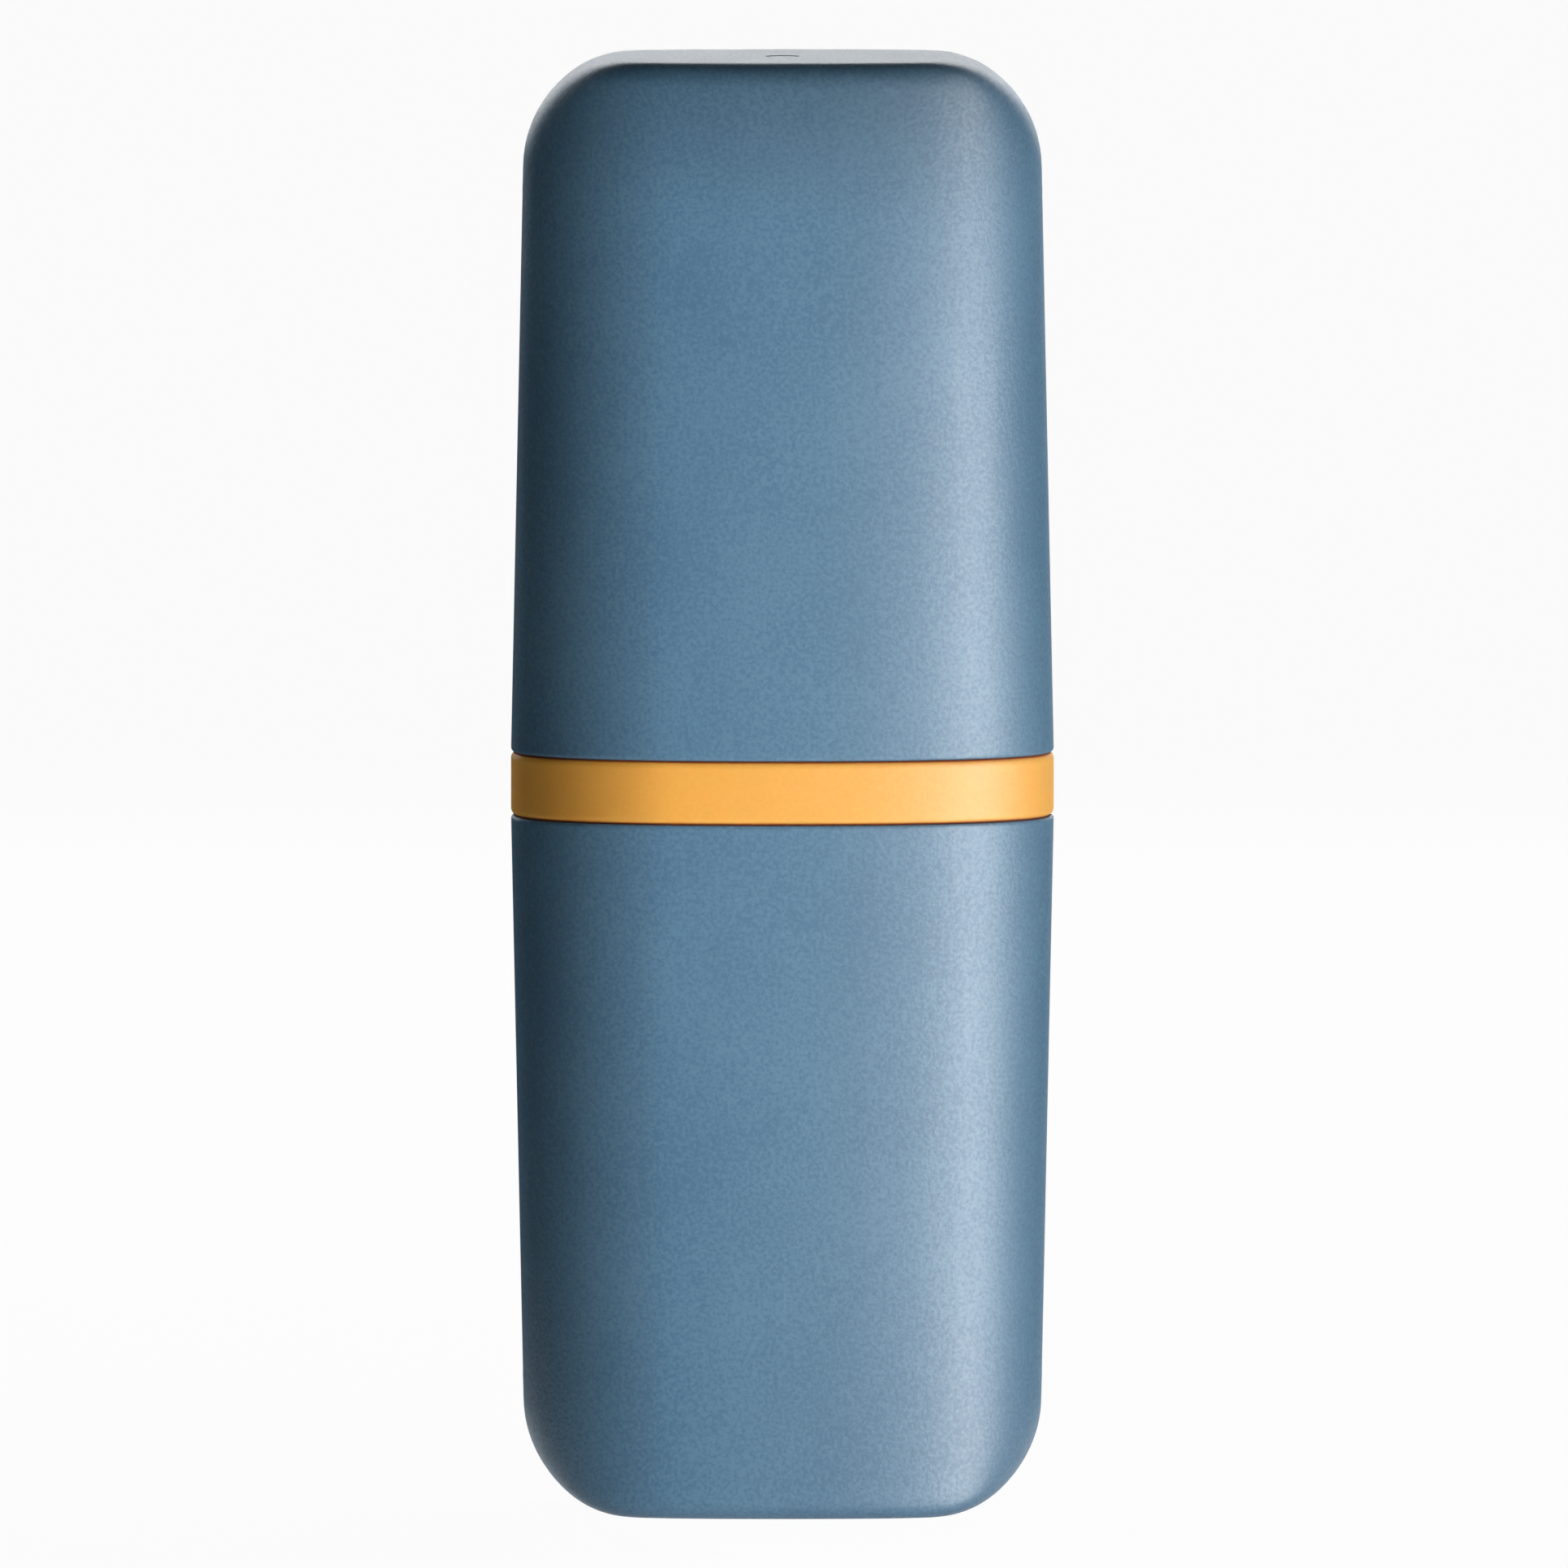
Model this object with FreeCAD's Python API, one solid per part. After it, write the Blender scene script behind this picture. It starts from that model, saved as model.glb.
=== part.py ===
import FreeCAD
import Part
import math
import os

# Travel case for toothbrushes: two oval rinsing cups, mouth to mouth on one coupling ring.
# Millimetres, +Z up, front along -Y. The origin is the middle of the lower cup's base.

# Oval plan of the case at the cup rims
RIM_WIDTH = 78.0
RIM_DEPTH = 54.0
OVAL_POWER = 2.45
QUARTER_STEPS = 20

# Cups: both are the same moulding, with an end that bends far in at its sides and little at front and back
CUP_HEIGHT = 99.9
CUP_WALL = 1.9
CUP_FLOOR = 2.2
CUP_DRAFT_DEGREES = 1.2
END_SIDE_RUN = 14.4
END_SIDE_RISE = 15.6
END_FRONT_RUN = 2.8
END_FRONT_RISE = 3.4
END_CORNER_POWER = 16.0
END_STEPS = 12
END_RUN_OUT = 2.2
RIM_OUTER_RADIUS = 0.6
RIM_INNER_RADIUS = 0.4
GATE_RECESS_DIAMETER = 5.0
GATE_RECESS_DEPTH = 0.5

# Coupling ring: the band that shows, and a spigot into each cup
BAND_HEIGHT = 9.1
BAND_EDGE_RADIUS = 1.0
SPIGOT_HEIGHT = 12.0
SPIGOT_WALL = 1.6
SPIGOT_LEAD_IN = 0.6
SPIGOT_CLEARANCE = 0.3
LEDGE_WIDTH = 1.6
LEDGE_THICKNESS = 1.6

# Seals: one soft ring in a groove round each spigot
GROOVE_WIDTH = 2.6
GROOVE_DEPTH = 0.8
GROOVE_FROM_TIP = 4.0
SEAL_CLEARANCE = 0.1
SEAL_PLAY = 0.05
SEAL_EDGE_RADIUS = 0.35

# Brush rack: a plate on the ring's ledge, with collared bays, pinch tabs and drain slots
RACK_CLEARANCE = 0.35
PLATE_THICKNESS = 2.0
PLATE_EDGE_RADIUS = 0.4
BRUSH_BAY = 15.0
BAY_CORNER_RADIUS = 5.0
COLLAR_WALL = 1.4
COLLAR_HEIGHT = 11.0
COLLAR_MARGIN = 2.0
BAY_MOUTH_RADIUS = 0.6
WEB_WIDTH = 2.6
TAB_WIDTH = 16.0
TAB_HEIGHT = 13.0
TAB_THICKNESS = 1.8
TAB_CORNER_RADIUS = 5.0
TAB_EDGE_RADIUS = 0.5
DRAIN_LENGTH = 5.0
DRAIN_WIDTH = 2.0
DRAIN_CORNER_RADIUS = 0.9
DRAIN_PITCH = 5.0
DRAINS_PER_GROUP = 3

# Modelling limits: the most of a wall that one rounding takes, when heights count as equal,
# and the degree of the surface through the end's sections
ROUNDING_SHARE = 0.45
SAME_HEIGHT = 0.001
LOFT_DEGREE = 3

# Heights and insets that follow from the sizes above
UP = FreeCAD.Vector(0, 0, 1)
DRAFT = math.tan(math.radians(CUP_DRAFT_DEGREES))
BAND_TOP = CUP_HEIGHT + BAND_HEIGHT
CASE_HEIGHT = 2 * CUP_HEIGHT + BAND_HEIGHT
MIDDLE = FreeCAD.Vector(0, 0, CASE_HEIGHT / 2)
SPIGOT_TIP = CUP_HEIGHT - SPIGOT_HEIGHT
SPIGOT_INSET = CUP_WALL + SPIGOT_CLEARANCE
GROOVE_INSET = SPIGOT_INSET + GROOVE_DEPTH
GROOVE_BOTTOM = SPIGOT_TIP + GROOVE_FROM_TIP
BORE_INSET = SPIGOT_INSET + SPIGOT_WALL + SPIGOT_HEIGHT * DRAFT
LEDGE_INSET = BORE_INSET + LEDGE_WIDTH
LEDGE_TOP = CUP_HEIGHT + LEDGE_THICKNESS
PLATE_INSET = BORE_INSET + RACK_CLEARANCE
PLATE_TOP = LEDGE_TOP + PLATE_THICKNESS
COLLAR_INSET = LEDGE_INSET + COLLAR_MARGIN
COLLAR_BOTTOM = LEDGE_TOP - COLLAR_HEIGHT
BRUSH_BAY_X = RIM_WIDTH / 2 - COLLAR_INSET - COLLAR_WALL - BRUSH_BAY / 2
WEB_X = BRUSH_BAY_X - BRUSH_BAY / 2 - COLLAR_WALL - WEB_WIDTH / 2
PASTE_BAY_WIDTH = 2 * (WEB_X - WEB_WIDTH / 2 - COLLAR_WALL)
PASTE_BAY_DEPTH = RIM_DEPTH - 2 * COLLAR_INSET - 2 * COLLAR_WALL


def oval(half_width, half_depth, z, side=None):
    """Closed oval at height z: a superellipse, with its ends cut off at a nearer side if one is given.

    It is drawn as four mirrored quarter curves that have the same knots at every height.
    """
    side = side or half_width
    cut = (half_width / side) ** END_CORNER_POWER - 1
    turns = [math.pi / 2 * step / QUARTER_STEPS for step in range(QUARTER_STEPS + 1)]
    quarter = []
    for turn in turns:
        along_x, along_y = abs(math.cos(turn)), abs(math.sin(turn))
        whole = (along_x ** OVAL_POWER + along_y ** OVAL_POWER) ** (END_CORNER_POWER / OVAL_POWER)
        reach = (whole + cut * along_x ** END_CORNER_POWER) ** (-1 / END_CORNER_POWER)
        quarter.append((half_width * along_x * reach, half_depth * along_y * reach))
    edges = []
    for side_x, side_y in ((1, 1), (-1, 1), (-1, -1), (1, -1)):
        points = [FreeCAD.Vector(side_x * x, side_y * y, z) for x, y in quarter]
        start = FreeCAD.Vector(0, side_y * half_depth * side / half_width, 0)
        end = FreeCAD.Vector(-side_x * half_width, 0, 0)
        if side_x * side_y < 0:
            points.reverse()
            start, end = -end, -start
        curve = Part.BSplineCurve()
        curve.interpolate(Points=points, Parameters=turns, InitialTangent=start, FinalTangent=end, Scale=False)
        edges.append(curve.toShape())
    return Part.Wire(edges)


def rim_oval(inset, z):
    """Oval at height z that lies a given inset inside the rim's outline."""
    return oval(RIM_WIDTH / 2 - inset, RIM_DEPTH / 2 - inset, z)


def prism(inset, bottom, top):
    """Upright solid with the rim's outline, drawn in by an inset."""
    return Part.Face(rim_oval(inset, bottom)).extrude(UP * (top - bottom))


def draw_in(height, run, rise):
    """How far an end rounding has drawn the wall in, at a height above the flat end."""
    if height >= rise or run <= 0:
        return 0.0
    return run * (1 - math.sqrt(1 - (1 - height / rise) ** 2))


def cup_oval(inset, floor, z):
    """Oval of the lower cup's skin at height z, for the skin a given inset inside the outer one."""
    drawn = inset + (CUP_HEIGHT - z) * DRAFT
    half_width = RIM_WIDTH / 2 - drawn
    half_depth = RIM_DEPTH / 2 - drawn - draw_in(z - floor, END_FRONT_RUN - inset, END_FRONT_RISE - inset)
    side = half_width - draw_in(z - floor, END_SIDE_RUN - inset, END_SIDE_RISE - inset)
    return oval(half_width, half_depth, z, side)


def taper(inset, bottom, top):
    """Solid that follows the straight part of the cup's wall, a given inset inside it."""
    ends = [rim_oval(inset + (CUP_HEIGHT - z) * DRAFT, z) for z in (bottom, top)]
    return Part.makeLoft(ends, True, True)


def cup_skin(inset, floor):
    """Solid inside one skin of the lower cup, from its closed end up to the rim."""
    rise = END_SIDE_RISE - inset
    turns = [math.pi / 2 * step / END_STEPS for step in range(END_STEPS + 1)]
    heights = [floor + rise * (1 - math.cos(turn)) for turn in turns]
    heights.append(heights[-1] + END_RUN_OUT)
    heights.append(heights[-1] + END_RUN_OUT)
    sections = [cup_oval(inset, floor, z) for z in heights]
    rounded = Part.makeLoft(sections, True, False, False, LOFT_DEGREE)
    return rounded.fuse(taper(inset, heights[-1], CUP_HEIGHT))


def level_edges(shape, z, inner=False):
    """Edges round the level face of a shape at height z, or round the hole in that face."""
    face = next(face for face in shape.Faces
                if abs(face.BoundBox.ZMin - z) < SAME_HEIGHT and abs(face.BoundBox.ZMax - z) < SAME_HEIGHT)
    wires = [wire for wire in face.Wires if wire.isSame(face.OuterWire) != inner]
    return [edge for wire in wires for edge in wire.Edges]


def cup():
    """The lower cup: a drafted shell with a rounded end, an eased rim and the gate's recess."""
    shell = cup_skin(0, 0).cut(cup_skin(CUP_WALL, CUP_FLOOR))
    shell = shell.makeFillet(RIM_OUTER_RADIUS, level_edges(shell, CUP_HEIGHT))
    shell = shell.makeFillet(RIM_INNER_RADIUS, level_edges(shell, CUP_HEIGHT, inner=True))
    return shell.cut(Part.makeCylinder(GATE_RECESS_DIAMETER / 2, GATE_RECESS_DEPTH))


def turned_over(shape):
    """Copy of a shape for the upper half of the case."""
    return shape.mirror(MIDDLE, UP)


def spigot():
    """Lower spigot with its lead-in and seal groove, reaching up into the band."""
    body = taper(SPIGOT_INSET, SPIGOT_TIP, LEDGE_TOP)
    body = body.makeChamfer(SPIGOT_LEAD_IN, level_edges(body, SPIGOT_TIP))
    groove_top = GROOVE_BOTTOM + GROOVE_WIDTH
    groove = taper(0, GROOVE_BOTTOM, groove_top).cut(taper(GROOVE_INSET, GROOVE_BOTTOM, groove_top))
    return body.cut(groove)


def coupling_ring():
    """Band and two spigots in one moulding, bored through, with the rack's ledge inside."""
    band = prism(0, CUP_HEIGHT, BAND_TOP)
    for z in (CUP_HEIGHT, BAND_TOP):
        band = band.makeFillet(BAND_EDGE_RADIUS, level_edges(band, z))
    lower = spigot()
    upper = turned_over(lower)
    body = band.fuse(lower).fuse(upper)
    body = body.cut(prism(LEDGE_INSET, SPIGOT_TIP, CASE_HEIGHT - SPIGOT_TIP))
    body = body.cut(prism(BORE_INSET, SPIGOT_TIP, CUP_HEIGHT))
    return body.cut(prism(BORE_INSET, LEDGE_TOP, CASE_HEIGHT - SPIGOT_TIP))


def seal():
    """Lower seal, seated on the groove's lower side."""
    top = GROOVE_BOTTOM + GROOVE_WIDTH - SEAL_PLAY
    ring = taper(CUP_WALL + SEAL_CLEARANCE, GROOVE_BOTTOM, top)
    for z in (GROOVE_BOTTOM, top):
        ring = ring.makeFillet(SEAL_EDGE_RADIUS, level_edges(ring, z))
    return ring.cut(taper(GROOVE_INSET - SEAL_PLAY, GROOVE_BOTTOM, top))


def rounded_box(width, depth, corner, bottom, top, x=0.0, y=0.0):
    """Upright box with rounded corners, centred on x and y."""
    place = FreeCAD.Vector(x - width / 2, y - depth / 2, bottom)
    box = Part.makeBox(width, depth, top - bottom, place)
    upright = [edge for edge in box.Edges if edge.BoundBox.ZLength > SAME_HEIGHT]
    return box.makeFillet(min(corner, ROUNDING_SHARE * min(width, depth)), upright)


def pinch_tab(side):
    """Finger tab that stands on the web beside the paste bay."""
    face_x = side * WEB_X - TAB_THICKNESS / 2
    top = PLATE_TOP + TAB_HEIGHT
    place = FreeCAD.Vector(face_x, -TAB_WIDTH / 2, LEDGE_TOP)
    tab = Part.makeBox(TAB_THICKNESS, TAB_WIDTH, top - LEDGE_TOP, place)
    corners = [edge for edge in level_edges(tab, top) if edge.BoundBox.XLength > SAME_HEIGHT]
    tab = tab.makeFillet(min(TAB_CORNER_RADIUS, ROUNDING_SHARE * TAB_WIDTH), corners)
    faces_outline = [edge for edge in tab.Edges
                     if edge.BoundBox.XLength < SAME_HEIGHT and edge.BoundBox.ZMax > LEDGE_TOP + SAME_HEIGHT]
    return tab.makeFillet(min(TAB_EDGE_RADIUS, ROUNDING_SHARE * TAB_THICKNESS), faces_outline)


def drain_slots(side_x, side_y):
    """Group of drain slots in the plate, outward of the webs and brush bays, along the oval."""
    half_width = RIM_WIDTH / 2 - COLLAR_INSET
    half_depth = RIM_DEPTH / 2 - COLLAR_INSET
    slots = []
    for place in range(DRAINS_PER_GROUP):
        x = WEB_X + place * DRAIN_PITCH
        far_x = (x + DRAIN_WIDTH / 2) / half_width
        y = half_depth * (1 - far_x ** OVAL_POWER) ** (1 / OVAL_POWER) - DRAIN_LENGTH / 2
        slots.append(rounded_box(DRAIN_WIDTH, DRAIN_LENGTH, DRAIN_CORNER_RADIUS, LEDGE_TOP, PLATE_TOP,
                                 side_x * x, side_y * y))
    return slots


def bay(width, depth, x):
    """Collar and hole of one bay, with the hole's mouth eased at the plate's top."""
    collar = rounded_box(width + 2 * COLLAR_WALL, depth + 2 * COLLAR_WALL, BAY_CORNER_RADIUS + COLLAR_WALL,
                         COLLAR_BOTTOM, PLATE_TOP, x)
    hole = rounded_box(width, depth, BAY_CORNER_RADIUS, COLLAR_BOTTOM, PLATE_TOP, x)
    tube = collar.cut(hole)
    mouth = level_edges(tube, PLATE_TOP, inner=True)
    return collar, collar.cut(tube.makeFillet(BAY_MOUTH_RADIUS, mouth))


def brush_rack():
    """Drop-in divider: two brush bays, a paste bay between them, pinch tabs and drains."""
    plate = prism(PLATE_INSET, LEDGE_TOP, PLATE_TOP)
    body = plate.makeFillet(PLATE_EDGE_RADIUS, level_edges(plate, PLATE_TOP))
    holes = []
    for width, depth, x in ((BRUSH_BAY, BRUSH_BAY, -BRUSH_BAY_X),
                            (PASTE_BAY_WIDTH, PASTE_BAY_DEPTH, 0.0),
                            (BRUSH_BAY, BRUSH_BAY, BRUSH_BAY_X)):
        collar, hole = bay(width, depth, x)
        body = body.fuse(collar)
        holes.append(hole)
    for side in (-1, 1):
        body = body.fuse(pinch_tab(side))
        for side_y in (-1, 1):
            holes.extend(drain_slots(side, side_y))
    for hole in holes:
        body = body.cut(hole)
    return body.removeSplitter()


def main():
    """Build every piece at its place in the closed case and write it out."""
    lower_cup = cup()
    lower_seal = seal()
    pieces = {
        "lower_cup": lower_cup,
        "upper_cup": turned_over(lower_cup),
        "coupling_ring": coupling_ring(),
        "lower_seal": lower_seal,
        "upper_seal": turned_over(lower_seal),
        "brush_rack": brush_rack(),
    }
    os.makedirs("parts", exist_ok=True)
    for name, shape in pieces.items():
        shape.exportStep("parts/" + name + ".step")
        print(name, shape.isValid(), len(shape.Solids), round(shape.Volume, 1))


main()
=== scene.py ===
"""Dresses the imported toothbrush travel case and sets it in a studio.

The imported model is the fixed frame: metres, +Z up along the case, -Y the front.
Its nodes are the real mouldings and stay as they are. This script gives them
their finishes, adds the sheared gates in the two closed ends, and sets the
floor, the lamps and the camera.
"""

import logging
import math
from dataclasses import dataclass
from enum import Enum
from typing import Any, ClassVar

import bpy
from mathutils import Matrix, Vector


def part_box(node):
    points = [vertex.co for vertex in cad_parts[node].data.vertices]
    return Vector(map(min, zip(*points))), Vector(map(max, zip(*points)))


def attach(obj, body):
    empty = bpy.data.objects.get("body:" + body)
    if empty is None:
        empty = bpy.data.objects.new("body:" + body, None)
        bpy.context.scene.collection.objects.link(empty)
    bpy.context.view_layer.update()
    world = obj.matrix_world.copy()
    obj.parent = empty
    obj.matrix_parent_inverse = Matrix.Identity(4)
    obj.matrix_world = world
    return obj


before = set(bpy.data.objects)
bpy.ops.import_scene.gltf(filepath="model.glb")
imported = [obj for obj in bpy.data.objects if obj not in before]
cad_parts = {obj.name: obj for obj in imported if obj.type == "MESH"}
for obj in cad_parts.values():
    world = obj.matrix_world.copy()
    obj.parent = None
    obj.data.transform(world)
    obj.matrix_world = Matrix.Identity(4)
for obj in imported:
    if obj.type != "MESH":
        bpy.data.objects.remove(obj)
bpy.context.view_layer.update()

MM = 0.001
LOG = logging.getLogger("travel_case")


class LampUse(Enum):
    """What a lamp is there for."""

    SURFACE = "lights the surface's own colour"
    SHEEN = "is mirrored in the surface's sheen"


class CardUse(Enum):
    """What a black card is there for."""

    MIRRORED = "darkens what the case's edges mirror"
    SHADE = "keeps the lamps off part of the case"


def linear(hex_colour: str) -> tuple[float, float, float, float]:
    """Turns an sRGB hex colour into linear light.

    Args:
        hex_colour: six hex digits after a number sign.

    Returns:
        Red, green, blue and an alpha of 1.
    """
    shares = [int(hex_colour[i:i + 2], 16) / 255 for i in (1, 3, 5)]
    red, green, blue = (
        s / 12.92 if s <= 0.04045 else ((s + 0.055) / 1.055) ** 2.4 for s in shares
    )
    return red, green, blue, 1.0


def add_node(
    tree: bpy.types.NodeTree,
    kind: str,
    settings: dict[str | int, Any] | None = None,
    links: dict[str | int, bpy.types.NodeSocket] | None = None,
) -> bpy.types.Node:
    """Adds a shader node with its settings and links.

    Args:
        tree: the node tree that takes the node.
        kind: the node's type after "ShaderNode".
        settings: values by the name of an attribute, or by the name or place of an input.
        links: sockets to plug in, by the name or place of an input.

    Returns:
        The new node.
    """
    node = tree.nodes.new("ShaderNode" + kind)
    for key, value in (settings or {}).items():
        if isinstance(key, str) and hasattr(node, key):
            setattr(node, key, value)
        else:
            node.inputs[key].default_value = value
    for key, socket in (links or {}).items():
        tree.links.new(socket, node.inputs[key])
    return node


def new_material(name: str) -> tuple[bpy.types.Material, bpy.types.NodeTree, bpy.types.Node]:
    """Makes a material that holds only its output node.

    Args:
        name: the material's name.

    Returns:
        The material, its node tree and its output node.
    """
    material = bpy.data.materials.new(name)
    material.use_nodes = True
    tree = material.node_tree
    tree.nodes.clear()
    return material, tree, add_node(tree, "OutputMaterial")


# How much more the grain counts than the clouds in the pigment's change, and
# the sums of the two noises where the change starts and is full.
GRAIN_WEIGHT = 2.0
PIGMENT_SPAN = (1.2, 1.8)
# The noise values where a rub starts and is full.
RUB_SPAN = (0.6, 0.75)
# The open shares of the surroundings where the painted seam shade is full and where it ends.
SEAM_SHADE_SPAN = (0.45, 0.85)
# The rays that look for a surface near a seam.
SEAM_SAMPLES = 8


@dataclass(frozen=True)
class MouldedPlastic:
    """A plastic or rubber moulded in a spark-eroded cavity.

    The eroded steel leaves a fine grain that breaks reflections into a soft,
    slightly sparkling sheen. Pigment that isn't wholly mixed leaves faint
    clouds, and drawing the piece off its core leaves thin upright rubs. The
    seams are darkened with painted shade where another surface is near. Real
    grain is about 0.1 mm wide, too fine to show in the render, so it is drawn
    coarser.

    Attributes:
        name: the material's name.
        colour: the plastic's own colour.
        cloud_colour: the colour where the pigment is thicker.
        seam_shade_colour: the colour of the shade painted in the seams.
        roughness: the sheen's width.
        grain: the width of one grain.
        grain_height: how far a grain stands up.
        grain_gloss: how far the roughness changes from grain to grain.
        cloud: the width of a pigment cloud.
        rub_width: the width of a rub.
        rub_length: the length of a rub.
        rub_gloss: how much smoother a rub is.
        seam_reach: how near another surface must be for the seam shade to be painted.
        glow: the share of light that scatters inside the wall.
        glow_depth: how far that light travels.
        glow_tint: how far red, green and blue travel, as shares.
        ior: the refractive index, polypropylene's unless given.
    """

    name: str
    colour: str
    cloud_colour: str
    seam_shade_colour: str
    roughness: float = 0.48
    grain: float = 0.6 * MM
    grain_height: float = 0.08 * MM
    grain_gloss: float = 0.25
    cloud: float = 26 * MM
    rub_width: float = 0.7 * MM
    rub_length: float = 22 * MM
    rub_gloss: float = 0.07
    seam_reach: float = 0.9 * MM
    glow: float = 0.0
    glow_depth: float = 1.0 * MM
    glow_tint: tuple[float, float, float] = (1.0, 1.0, 1.0)
    ior: float = 1.49

    def material(self) -> bpy.types.Material:
        """Builds the finish.

        Returns:
            The material.
        """
        material, tree, output = new_material(self.name)
        place = add_node(tree, "TexCoord").outputs["Object"]
        grain = add_node(
            tree,
            "TexNoise",
            {"Scale": 1 / self.grain, "Detail": 2.0, "Roughness": 0.6},
            {"Vector": place},
        ).outputs["Fac"]
        bump = add_node(tree, "Bump", {"Distance": self.grain_height}, {"Height": grain})
        shader = add_node(
            tree,
            "BsdfPrincipled",
            {
                "IOR": self.ior,
                "Subsurface Weight": self.glow,
                "Subsurface Radius": self.glow_tint,
                "Subsurface Scale": self.glow_depth,
            },
            {
                # The base colour carries the painted seam shade.
                "Base Color": self.paint_seam_shade(tree, self.pigment(tree, place, grain)),
                "Roughness": self.sheen(tree, place, grain),
                "Normal": bump.outputs["Normal"],
            },
        )
        tree.links.new(shader.outputs["BSDF"], output.inputs["Surface"])
        return material

    def pigment(
        self, tree: bpy.types.NodeTree, place: bpy.types.NodeSocket, grain: bpy.types.NodeSocket
    ) -> bpy.types.NodeSocket:
        """Mixes the pigment's clouds and its speckle from grain to grain.

        Args:
            tree: the node tree that takes the nodes.
            place: the place on the piece.
            grain: the grain's height, from 0 to 1.

        Returns:
            The plastic's colour.
        """
        clouds = add_node(
            tree, "TexNoise", {"Scale": 1 / self.cloud, "Detail": 3.0}, {"Vector": place}
        )
        speckled = add_node(
            tree,
            "Math",
            {"operation": "MULTIPLY_ADD", 1: GRAIN_WEIGHT},
            {0: grain, 2: clouds.outputs["Fac"]},
        )
        thin, thick = PIGMENT_SPAN
        share = add_node(
            tree, "MapRange", {"From Min": thin, "From Max": thick}, {"Value": speckled.outputs[0]}
        )
        colour = add_node(
            tree,
            "Mix",
            {"data_type": "RGBA", 6: linear(self.colour), 7: linear(self.cloud_colour)},
            {0: share.outputs["Result"]},
        )
        return colour.outputs[2]

    def paint_seam_shade(
        self, tree: bpy.types.NodeTree, colour: bpy.types.NodeSocket
    ) -> bpy.types.NodeSocket:
        """Paints shade into the colour where another surface is near, so the seams look darker.

        Args:
            tree: the node tree that takes the nodes.
            colour: the plastic's colour before the shade is painted in.

        Returns:
            The colour with the painted seam shade.
        """
        # Painted shade: the occlusion darkens the colour in the seams, where another surface is
        # near.
        seam = add_node(
            tree, "AmbientOcclusion", {"samples": SEAM_SAMPLES, "Distance": self.seam_reach}
        )
        full, unshaded = SEAM_SHADE_SPAN
        share = add_node(
            tree,
            "MapRange",
            {"From Min": full, "From Max": unshaded, "To Min": 1.0, "To Max": 0.0},
            {"Value": seam.outputs["AO"]},
        )
        mixed = add_node(
            tree,
            "Mix",
            {"data_type": "RGBA", 7: linear(self.seam_shade_colour)},
            {0: share.outputs["Result"], 6: colour},
        )
        return mixed.outputs[2]

    def sheen(
        self, tree: bpy.types.NodeTree, place: bpy.types.NodeSocket, grain: bpy.types.NodeSocket
    ) -> bpy.types.NodeSocket:
        """Sets the roughness, which changes with the grain and the upright rubs.

        Args:
            tree: the node tree that takes the nodes.
            place: the place on the piece.
            grain: the grain's height, from 0 to 1.

        Returns:
            The roughness.
        """
        stretched = add_node(
            tree,
            "Mapping",
            {"Scale": (1 / self.rub_width, 1 / self.rub_width, 1 / self.rub_length)},
            {"Vector": place},
        )
        rubs = add_node(
            tree,
            "TexNoise",
            {"Scale": 1.0, "Detail": 1.0},
            {"Vector": stretched.outputs["Vector"]},
        )
        clear, rubbed = RUB_SPAN
        smoothest = self.roughness - self.grain_gloss / 2
        base = add_node(
            tree,
            "MapRange",
            {
                "From Min": clear,
                "From Max": rubbed,
                "To Min": smoothest,
                "To Max": smoothest - self.rub_gloss,
            },
            {"Value": rubs.outputs["Fac"]},
        )
        roughness = add_node(
            tree,
            "Math",
            {"operation": "MULTIPLY_ADD", 1: self.grain_gloss},
            {0: grain, 2: base.outputs["Result"]},
        )
        return roughness.outputs[0]


# The third colour of each finish is the shade painted into its seams.
# Polypropylene with an opaque blue pigment: a broad, soft sheen with a fine speckle.
CUP_FINISH = MouldedPlastic("satin_blue_polypropylene", "#5D849F", "#4D7491", "#41525E")
# Polypropylene with a thin orange pigment and a lower grain: an even sheen, and light that
# scatters inside the wall and warms its shaded side.
RING_FINISH = MouldedPlastic(
    "satin_orange_polypropylene",
    "#FFB850",
    "#FEB34A",
    "#B84A12",
    roughness=0.54,
    grain_height=0.03 * MM,
    grain_gloss=0.1,
    glow=0.3,
    glow_depth=2 * MM,
    glow_tint=(1.0, 0.45, 0.15),
)
# Moulded silicone without pigment: milky and soft-edged, because light goes into it.
SEAL_FINISH = MouldedPlastic(
    "milky_moulded_silicone",
    "#DCDBD5",
    "#D6D5CE",
    "#A8A69C",
    roughness=0.5,
    glow=0.5,
    glow_depth=1.2 * MM,
    ior=1.41,
)
# Polypropylene without pigment: a waxy off-white that light enters a little.
RACK_FINISH = MouldedPlastic(
    "natural_white_polypropylene",
    "#E3E1DA",
    "#DDDBD2",
    "#B5B2A6",
    glow=0.3,
    glow_depth=1.5 * MM,
    glow_tint=(1.0, 0.9, 0.75),
)


def dress(node: str, material: bpy.types.Material) -> bpy.types.Object:
    """Gives a CAD node its finish.

    Args:
        node: the node's name.
        material: the finish for every slot of the node.

    Returns:
        The node's object.
    """
    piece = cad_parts[node]
    for slot in piece.material_slots:
        slot.material = material
    LOG.info("%s: %s", node, material.name)
    return piece


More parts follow.
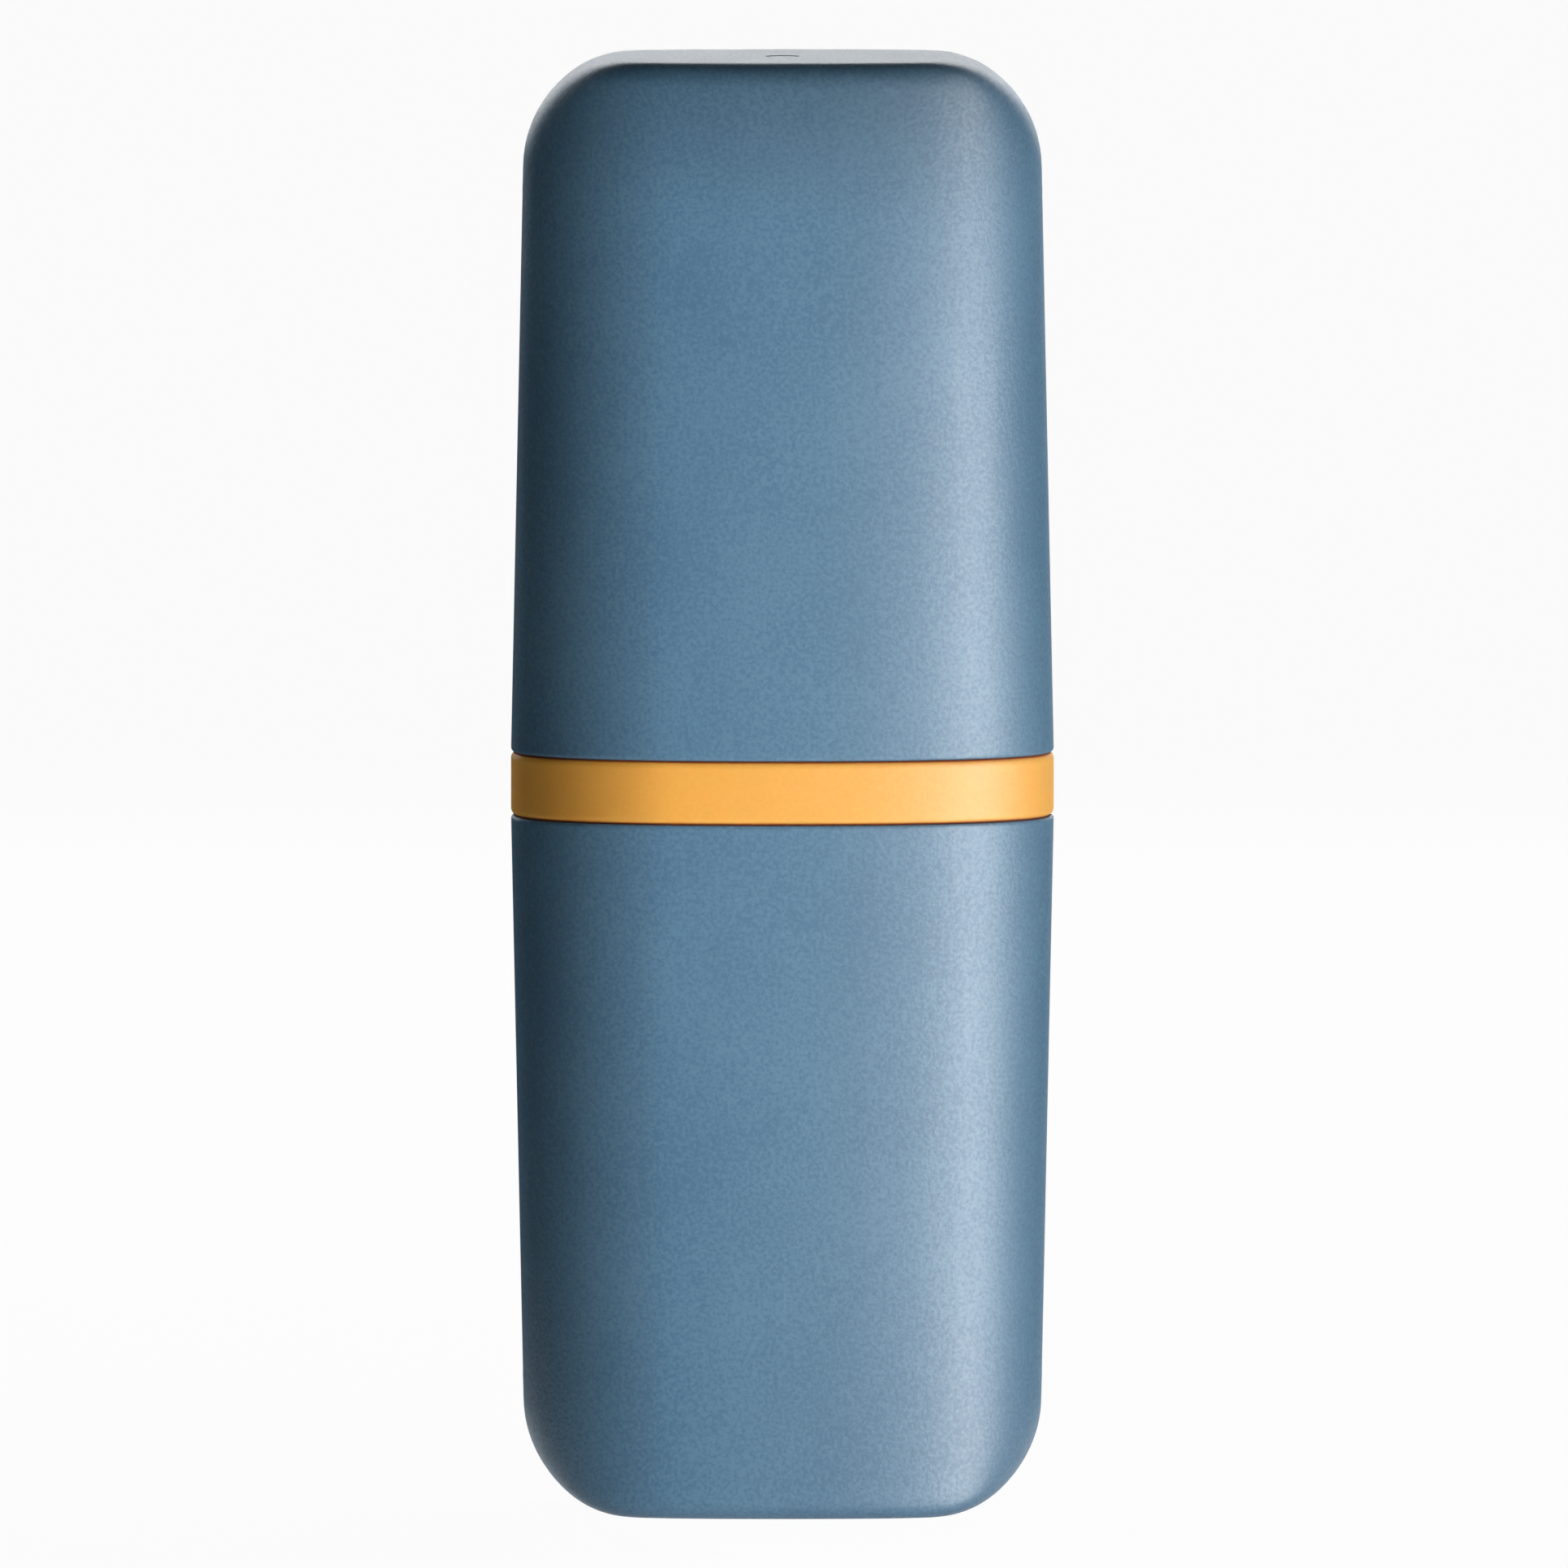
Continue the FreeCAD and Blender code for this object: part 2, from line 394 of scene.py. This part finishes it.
@dataclass
class Cup:
    """A rinsing cup: its moulding and the sheared gate in its closed end.

    Attributes:
        node: the cup's CAD node and body.
        finish: the cup's material.
        inward: 1 where the cup opens upward, -1 where it opens downward.
        recess_depth: the depth of the gate recess in the closed end.
        stub_diameter: the width of the sheared gate.
        stub_height: how far the sheared gate stands up in its recess.
        stub_steps: the corners round the gate.
        stub_profile: the gate's outline from its foot, as shares of half its width and
            of its height.
    """

    node: str
    finish: bpy.types.Material
    inward: int
    recess_depth: float = 0.5 * MM
    stub_diameter: float = 4.6 * MM
    stub_height: float = 0.42 * MM
    stub_steps: int = 32
    stub_profile: tuple[tuple[float, float], ...] = (
        (1.02, 0.0),
        (1.0, 0.35),
        (0.97, 0.85),
        (0.85, 1.0),
        (0.2, 0.97),
    )

    def build(self) -> None:
        """Dresses the moulding and adds the sheared gate."""
        dress(self.node, self.finish)
        self.gate_stub()

    def gate_stub(self) -> bpy.types.Object:
        """Builds the sheared gate, a low disc with a worn rim.

        Returns:
            The gate, riding on the cup.
        """
        low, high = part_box(self.node)
        end = low[2] if self.inward > 0 else high[2]
        foot = end + self.inward * self.recess_depth
        half = self.stub_diameter / 2
        profile = [(half * wide, self.stub_height * tall) for wide, tall in self.stub_profile]
        points: list[tuple[float, float, float]] = []
        for radius, height in profile:
            for step in range(self.stub_steps):
                turn = 2 * math.pi * step / self.stub_steps
                points.append(
                    (radius * math.cos(turn), radius * math.sin(turn), foot - self.inward * height)
                )
        faces: list[tuple[int, ...]] = []
        for level in range(len(profile) - 1):
            for step in range(self.stub_steps):
                beside = (step + 1) % self.stub_steps
                a = level * self.stub_steps
                b = a + self.stub_steps
                faces.append((a + step, a + beside, b + beside, b + step)[:: -self.inward])
        last = (len(profile) - 1) * self.stub_steps
        faces.append(tuple(range(last, last + self.stub_steps))[:: -self.inward])
        mesh = bpy.data.meshes.new(f"{self.node}_gate_stub")
        mesh.from_pydata(points, [], faces)
        mesh.shade_smooth()
        mesh.materials.append(self.finish)
        stub = bpy.data.objects.new(mesh.name, mesh)
        bpy.context.scene.collection.objects.link(stub)
        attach(stub, self.node)
        LOG.info("%s: %s", stub.name, self.finish.name)
        return stub


@dataclass
class Coupling:
    """The coupling ring and the two seals on its spigots.

    Attributes:
        ring_finish: the ring's material.
        seal_finish: the seals' material.
    """

    ring_finish: bpy.types.Material
    seal_finish: bpy.types.Material

    def build(self) -> None:
        """Dresses the ring and its seals."""
        dress("coupling_ring", self.ring_finish)
        dress("lower_seal", self.seal_finish)
        dress("upper_seal", self.seal_finish)


@dataclass
class BrushRack:
    """The lift-out rack in the ring.

    Attributes:
        finish: the rack's material.
    """

    finish: bpy.types.Material

    def build(self) -> None:
        """Dresses the rack."""
        dress("brush_rack", self.finish)


def around(azimuth: float, distance: float, height: float) -> Vector:
    """Finds a place round the case.

    Args:
        azimuth: degrees to the right of the camera's side.
        distance: metres from the case's axis.
        height: metres above the floor.

    Returns:
        The place.
    """
    turn = math.radians(azimuth)
    return Vector((distance * math.sin(turn), -distance * math.cos(turn), height))


@dataclass
class Softbox:
    """A lamp behind a large diffuser, aimed at the case.

    Attributes:
        name: the lamp's name.
        azimuth: degrees to the right of the camera's side.
        distance: metres from the case's axis.
        low: height of the diffuser's lower edge.
        high: height of the diffuser's upper edge.
        width: the diffuser's width.
        radiance: the diffuser's brightness, where 1 is a white surface in full light.
        use: what the lamp is there for.
    """

    name: str
    azimuth: float
    distance: float
    low: float
    high: float
    width: float
    radiance: float
    use: LampUse = LampUse.SURFACE

    def build(self) -> bpy.types.Object:
        """Makes the lamp.

        Returns:
            The lamp's object.
        """
        lamp = bpy.data.lights.new(self.name, "AREA")
        lamp.shape = "RECTANGLE"
        lamp.size, lamp.size_y = self.width, self.high - self.low
        lamp.energy = self.radiance * math.pi * lamp.size * lamp.size_y
        # With this sampling on, the lamps for the sheen would also take up the plastic's colour.
        lamp.cycles.use_multiple_importance_sampling = False
        holder = bpy.data.objects.new(self.name, lamp)
        holder.location = around(self.azimuth, self.distance, (self.low + self.high) / 2)
        level = Vector((-holder.location.x, -holder.location.y, 0))
        holder.rotation_euler = level.to_track_quat("-Z", "Y").to_euler()
        holder.visible_camera = False
        holder.visible_glossy = self.use is LampUse.SHEEN
        holder.visible_diffuse = self.use is LampUse.SURFACE
        bpy.context.scene.collection.objects.link(holder)
        return holder


@dataclass
class Card:
    """A black card that stands upright beside the case.

    Attributes:
        name: the card's name.
        start: X and Y of one upright edge.
        end: X and Y of the other upright edge.
        use: what the card is there for.
        low: height of the card's lower edge.
        high: height of the card's upper edge.
        colour: the cards' paper.
    """

    name: str
    start: tuple[float, float]
    end: tuple[float, float]
    use: CardUse
    low: float = 1 * MM
    high: float = 320 * MM
    colour: ClassVar[str] = "#1A1A1A"

    def build(self) -> bpy.types.Object:
        """Makes the card.

        Returns:
            The card's object.
        """
        corners = [
            (*self.start, self.low),
            (*self.end, self.low),
            (*self.end, self.high),
            (*self.start, self.high),
        ]
        mesh = bpy.data.meshes.new(self.name)
        mesh.from_pydata(corners, [], [(0, 1, 2, 3)])
        material, tree, output = new_material("black_card")
        shader = add_node(tree, "BsdfDiffuse", {"Color": linear(self.colour)})
        tree.links.new(shader.outputs["BSDF"], output.inputs["Surface"])
        mesh.materials.append(material)
        card = bpy.data.objects.new(self.name, mesh)
        card.visible_camera = False
        card.visible_diffuse = False
        card.visible_glossy = self.use is CardUse.MIRRORED
        card.visible_shadow = self.use is CardUse.SHADE
        bpy.context.scene.collection.objects.link(card)
        return card


@dataclass
class Studio:
    """The floor, the lamps, the cards and the white surroundings.

    Attributes:
        floor_half: half the floor's width.
        floor_colour: the floor's paper.
        floor_white: the share of plain white in the floor as it is seen.
        room_light: the dim light from all round.
        backdrop_edge: where the white behind the case starts and is full, as shares of
            straight back.
        backdrop_top: where the white behind the case is full and ends, as shares of
            straight up.
    """

    floor_half: float = 15.0
    floor_colour: str = "#EDEDEB"
    floor_white: float = 0.96
    room_light: float = 0.02
    backdrop_edge: tuple[float, float] = (-0.1, 0.3)
    backdrop_top: tuple[float, float] = (0.5, 0.9)

    def build(self) -> None:
        """Sets up everything that isn't the case."""
        self.floor()
        self.world()
        # Azimuth, distance, lower edge, upper edge, width and radiance. The main lamp lights
        # the front, and the strip and its halo draw the bright upright streak at the right.
        lamps = [
            Softbox("main", 13, 0.45, -0.03, 0.23, 0.107, 18.1),
            Softbox("strip", 61, 0.35, -0.22, 0.45, 0.135, 16.0, LampUse.SHEEN),
            Softbox("strip_halo", 44, 0.4, -0.3, 0.45, 0.5, 2.1, LampUse.SHEEN),
            Softbox("rear_sheen", 180, 1.5, 0.2, 1.3, 1.6, 1.9, LampUse.SHEEN),
            Softbox("lower_sheen", 20, 0.5, -0.75, -0.35, 0.6, 1.5, LampUse.SHEEN),
            Softbox("right_fill", 112, 0.6, 0.0, 0.25, 0.3, 6.0),
            Softbox("back_right_fill", 150, 1.5, 0.1, 1.2, 1.0, 3.0),
            Softbox("back_left_fill", -150, 1.5, 0.1, 1.2, 1.0, 3.0),
        ]
        # The mirrored cards darken the case's edges. The shades keep the lamps off the left
        # side and the closed end; the top one is low, so that a raised cup is lit.
        cards = [
            Card("right_card", (0.1, 0.0), (0.1, 0.2), CardUse.MIRRORED, high=0.23),
            Card("left_card", (-0.13, -0.06), (-0.13, 0.2), CardUse.MIRRORED, high=0.23),
            Card("left_back_card", (-0.13, 0.12), (-0.03, 0.12), CardUse.MIRRORED, high=0.198),
            Card("left_shade", (-0.3, -0.09), (-0.0064, -0.09), CardUse.SHADE, low=-0.2),
            Card("top_shade", (-0.3, -0.09), (0.058, -0.09), CardUse.SHADE, 0.193, 0.225),
            Card("strip_shade", (0.058, -0.09), (0.2, -0.09), CardUse.SHADE, 0.193, 0.5),
        ]
        for item in (*lamps, *cards):
            item.build()

    def looking(
        self, tree: bpy.types.NodeTree
    ) -> tuple[bpy.types.NodeSocket, bpy.types.NodeSocket]:
        """Tells the rays that look from those that light.

        Args:
            tree: the node tree that takes the nodes.

        Returns:
            A socket that is 1 for rays from the camera or a clear surface, and a socket
            that is 1 for rays from a sheen.
        """
        path = add_node(tree, "LightPath")
        straight = add_node(
            tree,
            "Math",
            {"operation": "ADD", "use_clamp": True},
            {0: path.outputs["Is Camera Ray"], 1: path.outputs["Is Transmission Ray"]},
        )
        return straight.outputs[0], path.outputs["Is Glossy Ray"]

    def floor(self) -> bpy.types.Object:
        """Lays the pale paper floor.

        Returns:
            The floor's object.
        """
        half = self.floor_half
        mesh = bpy.data.meshes.new("floor")
        mesh.from_pydata(
            [(-half, -half, 0), (half, -half, 0), (half, half, 0), (-half, half, 0)],
            [],
            [(0, 1, 2, 3)],
        )
        material, tree, output = new_material("white_paper")
        paper = add_node(tree, "BsdfDiffuse", {"Color": linear(self.floor_colour)})
        white = add_node(tree, "Emission", {"Strength": 1.0})
        straight, sheen = self.looking(tree)
        seen = add_node(tree, "Math", {"operation": "MAXIMUM"}, {0: straight, 1: sheen})
        share = add_node(
            tree, "Math", {"operation": "MULTIPLY", 1: self.floor_white}, {0: seen.outputs[0]}
        )
        mixed = add_node(
            tree,
            "MixShader",
            {},
            {0: share.outputs[0], 1: paper.outputs["BSDF"], 2: white.outputs["Emission"]},
        )
        tree.links.new(mixed.outputs["Shader"], output.inputs["Surface"])
        mesh.materials.append(material)
        floor = bpy.data.objects.new("floor", mesh)
        # Some lamps reach below the floor's level, and it doesn't hold their light back.
        floor.visible_shadow = False
        bpy.context.scene.collection.objects.link(floor)
        return floor

    def world(self) -> None:
        """Sets the dim room and the white that is seen near its horizon."""
        world = bpy.data.worlds.new("studio")
        world.use_nodes = True
        tree = world.node_tree
        tree.nodes.clear()
        output = add_node(tree, "OutputWorld")
        direction = add_node(tree, "TexCoord").outputs["Generated"]
        toward = add_node(tree, "SeparateXYZ", {}, {0: direction})
        start, full = self.backdrop_edge
        behind = add_node(
            tree,
            "MapRange",
            {"From Min": start, "From Max": full},
            {"Value": toward.outputs["Y"]},
        )
        low, high = self.backdrop_top
        under = add_node(
            tree,
            "MapRange",
            {"From Min": low, "From Max": high, "To Min": 1.0, "To Max": 0.0},
            {"Value": toward.outputs["Z"]},
        )
        straight, sheen = self.looking(tree)
        backdrop = add_node(
            tree,
            "Math",
            {"operation": "MULTIPLY"},
            {0: behind.outputs["Result"], 1: under.outputs["Result"]},
        )
        mirrored = add_node(
            tree, "Math", {"operation": "MULTIPLY"}, {0: backdrop.outputs[0], 1: sheen}
        )
        share = add_node(
            tree, "Math", {"operation": "MAXIMUM"}, {0: straight, 1: mirrored.outputs[0]}
        )
        plain = linear("#FFFFFF")
        dim = add_node(tree, "Background", {"Color": plain, "Strength": self.room_light})
        white = add_node(tree, "Background", {"Color": plain, "Strength": 1.0})
        mixed = add_node(
            tree,
            "MixShader",
            {},
            {0: share.outputs[0], 1: dim.outputs[0], 2: white.outputs[0]},
        )
        tree.links.new(mixed.outputs["Shader"], output.inputs["Surface"])
        bpy.context.scene.world = world


@dataclass
class PhotoCamera:
    """The camera, at the photograph's angle.

    Attributes:
        distance: metres from the case's axis to the camera.
        height: the camera's height.
        aim_side: the aimed point's X.
        aim_height: the aimed point's height.
        lens: focal length in millimetres.
        sensor: the sensor's width in millimetres.
        reach: how far the camera sees.
    """

    distance: float = 6.0
    height: float = 0.4764
    aim_side: float = 0.23 * MM
    aim_height: float = 104.2 * MM
    lens: float = 960.4
    sensor: float = 36.0
    reach: float = 100.0

    def build(self) -> bpy.types.Object:
        """Makes the scene's camera.

        Returns:
            The camera's object.
        """
        data = bpy.data.cameras.new("photo_camera")
        data.lens = self.lens
        data.sensor_width = self.sensor
        data.clip_end = self.reach
        camera = bpy.data.objects.new("photo_camera", data)
        camera.location = (self.aim_side, -self.distance, self.height)
        aim = Vector((self.aim_side, 0.0, self.aim_height)) - camera.location
        camera.rotation_euler = aim.to_track_quat("-Z", "Y").to_euler()
        bpy.context.scene.collection.objects.link(camera)
        bpy.context.scene.camera = camera
        return camera


def main() -> None:
    """Builds the case's looks, the studio and the camera in order."""
    logging.basicConfig(level=logging.INFO)
    cup_finish = CUP_FINISH.material()
    Cup("lower_cup", cup_finish, 1).build()
    Cup("upper_cup", cup_finish, -1).build()
    Coupling(RING_FINISH.material(), SEAL_FINISH.material()).build()
    BrushRack(RACK_FINISH.material()).build()
    Studio().build()
    PhotoCamera().build()
    bpy.context.scene.view_settings.view_transform = "Standard"


if __name__ == "__main__":
    main()
